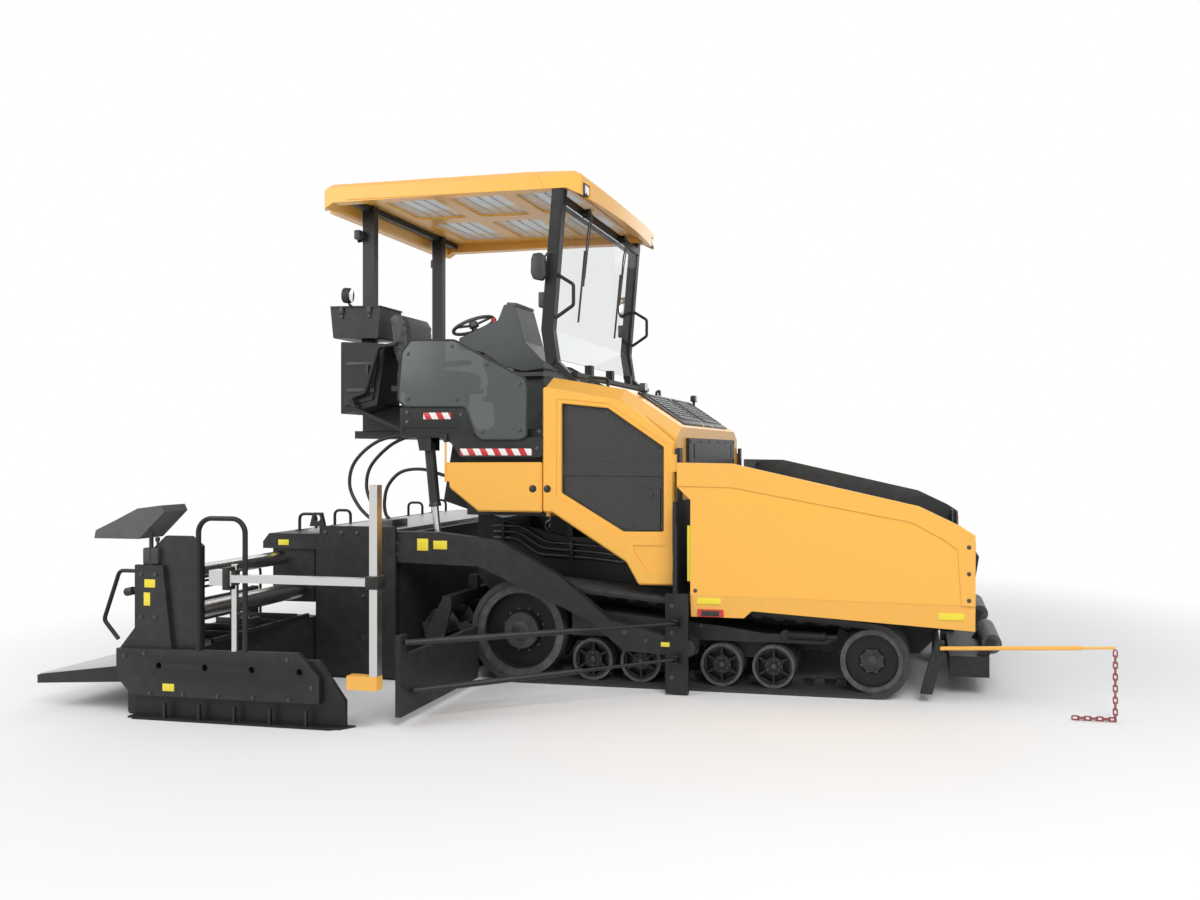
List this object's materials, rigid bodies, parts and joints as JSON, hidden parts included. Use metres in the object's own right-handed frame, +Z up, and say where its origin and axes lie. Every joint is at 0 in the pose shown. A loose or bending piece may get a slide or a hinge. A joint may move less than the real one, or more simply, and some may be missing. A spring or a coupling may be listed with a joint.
{
  "type": "tracked asphalt paver",
  "caption": "Asphalt paver on rubber tracks with a folding hopper, canopy and a floating screed that lifts and widens.",
  "frame": {"origin": "middle of the machine's box at ground level, under the tracks", "axes": "+X forwards to the hopper, +Y to the machine's left, +Z up"},
  "size_m": [6.72, 4.95, 3.69],
  "materials": {
    "yellow_paint": "satin",
    "black_paint": "satin",
    "frame_black": "semi-matt",
    "belt_rubber": "matt",
    "smoked_plastic": "smooth",
    "glass_clear": "polished",
    "console_plastic": "fine grain",
    "seat_vinyl": "grained",
    "bright_metal": "brushed",
    "cast_dark": "rough",
    "chain_red": "gloss",
    "grille_black": "matt",
    "engine_grey": "rough"
  },
  "bodies": {
    "root": {"conveyor_floor": "frame_black", "front_crossmember": "frame_black", "tow_posts": "frame_black", "auger_beam": "frame_black", "braces": "frame_black", "canopy_posts": "black_paint", "canopy_roof": "yellow_paint", "chassis": "frame_black", "console": "console_plastic", "conveyor": "cast_dark", "deck": "black_paint", "engine_block": "engine_grey", "guide_chain": "chain_red", "guide_rod": "yellow_paint", "hood": "yellow_paint", "hood_front_plate": "frame_black", "limiter_plates": "frame_black", "rear_locker": "frame_black", "roof_skylights": "smoked_plastic", "seat_cushions": "seat_vinyl", "seat_frames": "frame_black", "side_guards": "smoked_plastic", "tank": "frame_black", "track_frames": "frame_black", "track_left": "belt_rubber", "track_right": "belt_rubber", "track_wheels_left": "frame_black", "track_wheels_right": "frame_black", "windscreen": "glass_clear"},
    "hopper_apron": {"hopper_apron": "frame_black"},
    "push_beam": {"push_beam": "frame_black"},
    "steering_wheel": {"steering_wheel": "console_plastic"},
    "screed": {"screed_frame": "frame_black", "screed_walkway": "bright_metal", "tow_arms": "frame_black", "lift_pins": "frame_black"},
    "hopper_wing_right": {"hopper_wing_right": "yellow_paint"},
    "push_roller_right": {"push_roller_right": "frame_black"},
    "engine_door_right": {"engine_door_right": "yellow_paint", "door_grille_right": "grille_black"},
    "rear_panel_right": {"rear_panel_right": "yellow_paint"},
    "auger_right": {"auger_right": "cast_dark"},
    "extension_right": {"extension_right": "frame_black", "end_gate_right": "frame_black", "gate_rails_right": "frame_black", "grade_mast_right": "bright_metal"},
    "lift_barrel_right": {"lift_barrel_right": "black_paint"},
    "lift_rod_right": {"lift_rod_right": "frame_black"},
    "hopper_wing_left": {"hopper_wing_left": "yellow_paint"},
    "push_roller_left": {"push_roller_left": "frame_black"},
    "engine_door_left": {"engine_door_left": "yellow_paint", "door_grille_left": "grille_black"},
    "rear_panel_left": {"rear_panel_left": "yellow_paint"},
    "auger_left": {"auger_left": "cast_dark"},
    "extension_left": {"extension_left": "frame_black", "end_gate_left": "frame_black", "gate_rails_left": "frame_black", "grade_mast_left": "bright_metal"},
    "lift_barrel_left": {"lift_barrel_left": "frame_black"},
    "lift_rod_left": {"lift_rod_left": "frame_black"}
  },
  "joints": [
    {"name": "screed_lift", "type": "hinge", "parent": "root", "child": "screed", "pos_m": [0.65, 0, 0.32], "axis": [0, 1, 0], "range_deg": [0, 8]},
    {"name": "wing_right_fold", "type": "hinge", "parent": "root", "child": "hopper_wing_right", "pos_m": [1.6, -0.61, 0.72], "axis": [-1, 0, 0], "range_deg": [0, 50]},
    {"name": "push_roller_right_spin", "type": "hinge", "parent": "push_beam", "child": "push_roller_right", "pos_m": [2.66, -0.6, 0.345], "axis": [0, 1, 0], "continuous": true},
    {"name": "engine_door_right_open", "type": "hinge", "parent": "root", "child": "engine_door_right", "pos_m": [0.541, -1.157, 1.2], "axis": [0, 0, 1], "range_deg": [0, 85]},
    {"name": "rear_panel_right_open", "type": "hinge", "parent": "root", "child": "rear_panel_right", "pos_m": [-1.168, -1.157, 1.45], "axis": [0, 0, -1], "range_deg": [0, 80]},
    {"name": "auger_right_spin", "type": "hinge", "parent": "root", "child": "auger_right", "pos_m": [-1.25, -0.6, 0.3], "axis": [0, 1, 0], "continuous": true},
    {"name": "extension_right_slide", "type": "slide", "parent": "screed", "child": "extension_right", "axis": [0, 1, 0], "range_m": [0, 1.05]},
    {"name": "lift_barrel_right_swing", "type": "hinge", "parent": "root", "child": "lift_barrel_right", "pos_m": [-1.335, -1.08, 1.69], "axis": [0, -1, 0], "range_deg": [0, 14.11]},
    {"name": "lift_rod_right_slide", "type": "slide", "parent": "lift_barrel_right", "child": "lift_rod_right", "axis": [0.0982, 0, -0.9952], "range_m": [-0.2337, 0]},
    {"name": "wing_left_fold", "type": "hinge", "parent": "root", "child": "hopper_wing_left", "pos_m": [1.6, 0.61, 0.72], "axis": [1, 0, 0], "range_deg": [0, 50]},
    {"name": "push_roller_left_spin", "type": "hinge", "parent": "push_beam", "child": "push_roller_left", "pos_m": [2.66, 0.6, 0.345], "axis": [0, 1, 0], "continuous": true},
    {"name": "engine_door_left_open", "type": "hinge", "parent": "root", "child": "engine_door_left", "pos_m": [0.541, 1.157, 1.2], "axis": [0, 0, -1], "range_deg": [0, 85]},
    {"name": "rear_panel_left_open", "type": "hinge", "parent": "root", "child": "rear_panel_left", "pos_m": [-1.168, 1.157, 1.45], "axis": [0, 0, 1], "range_deg": [0, 80]},
    {"name": "auger_left_spin", "type": "hinge", "parent": "root", "child": "auger_left", "pos_m": [-1.25, 0.6, 0.3], "axis": [0, 1, 0], "continuous": true},
    {"name": "extension_left_slide", "type": "slide", "parent": "screed", "child": "extension_left", "axis": [0, -1, 0], "range_m": [0, 1.05]},
    {"name": "lift_barrel_left_swing", "type": "hinge", "parent": "root", "child": "lift_barrel_left", "pos_m": [-1.335, 1.08, 1.69], "axis": [0, -1, 0], "range_deg": [0, 14.11]},
    {"name": "lift_rod_left_slide", "type": "slide", "parent": "lift_barrel_left", "child": "lift_rod_left", "axis": [0.0982, 0, -0.9952], "range_m": [-0.2337, 0]},
    {"name": "apron_fold", "type": "hinge", "parent": "root", "child": "hopper_apron", "pos_m": [2.545, 0, 0.64], "axis": [0, -1, 0], "range_deg": [0, 75]},
    {"name": "push_beam_swing", "type": "hinge", "parent": "root", "child": "push_beam", "pos_m": [2.4, 0, 0.2], "axis": [0, 0, 1], "range_deg": [-6, 6]},
    {"name": "steering_turn", "type": "hinge", "parent": "root", "child": "steering_wheel", "pos_m": [-1.3, -0.45, 2.64], "axis": [-0.3872, 0, 0.922], "range_deg": [-450, 450]}
  ],
  "couplings": [
    {"joint": "lift_barrel_right_swing", "follows": "screed_lift", "ratio": 1.7506},
    {"joint": "lift_rod_right_slide", "follows": "screed_lift", "m_per_rad": -1.6665},
    {"joint": "lift_barrel_left_swing", "follows": "screed_lift", "ratio": 1.7506},
    {"joint": "lift_rod_left_slide", "follows": "screed_lift", "m_per_rad": -1.6665}
  ]
}
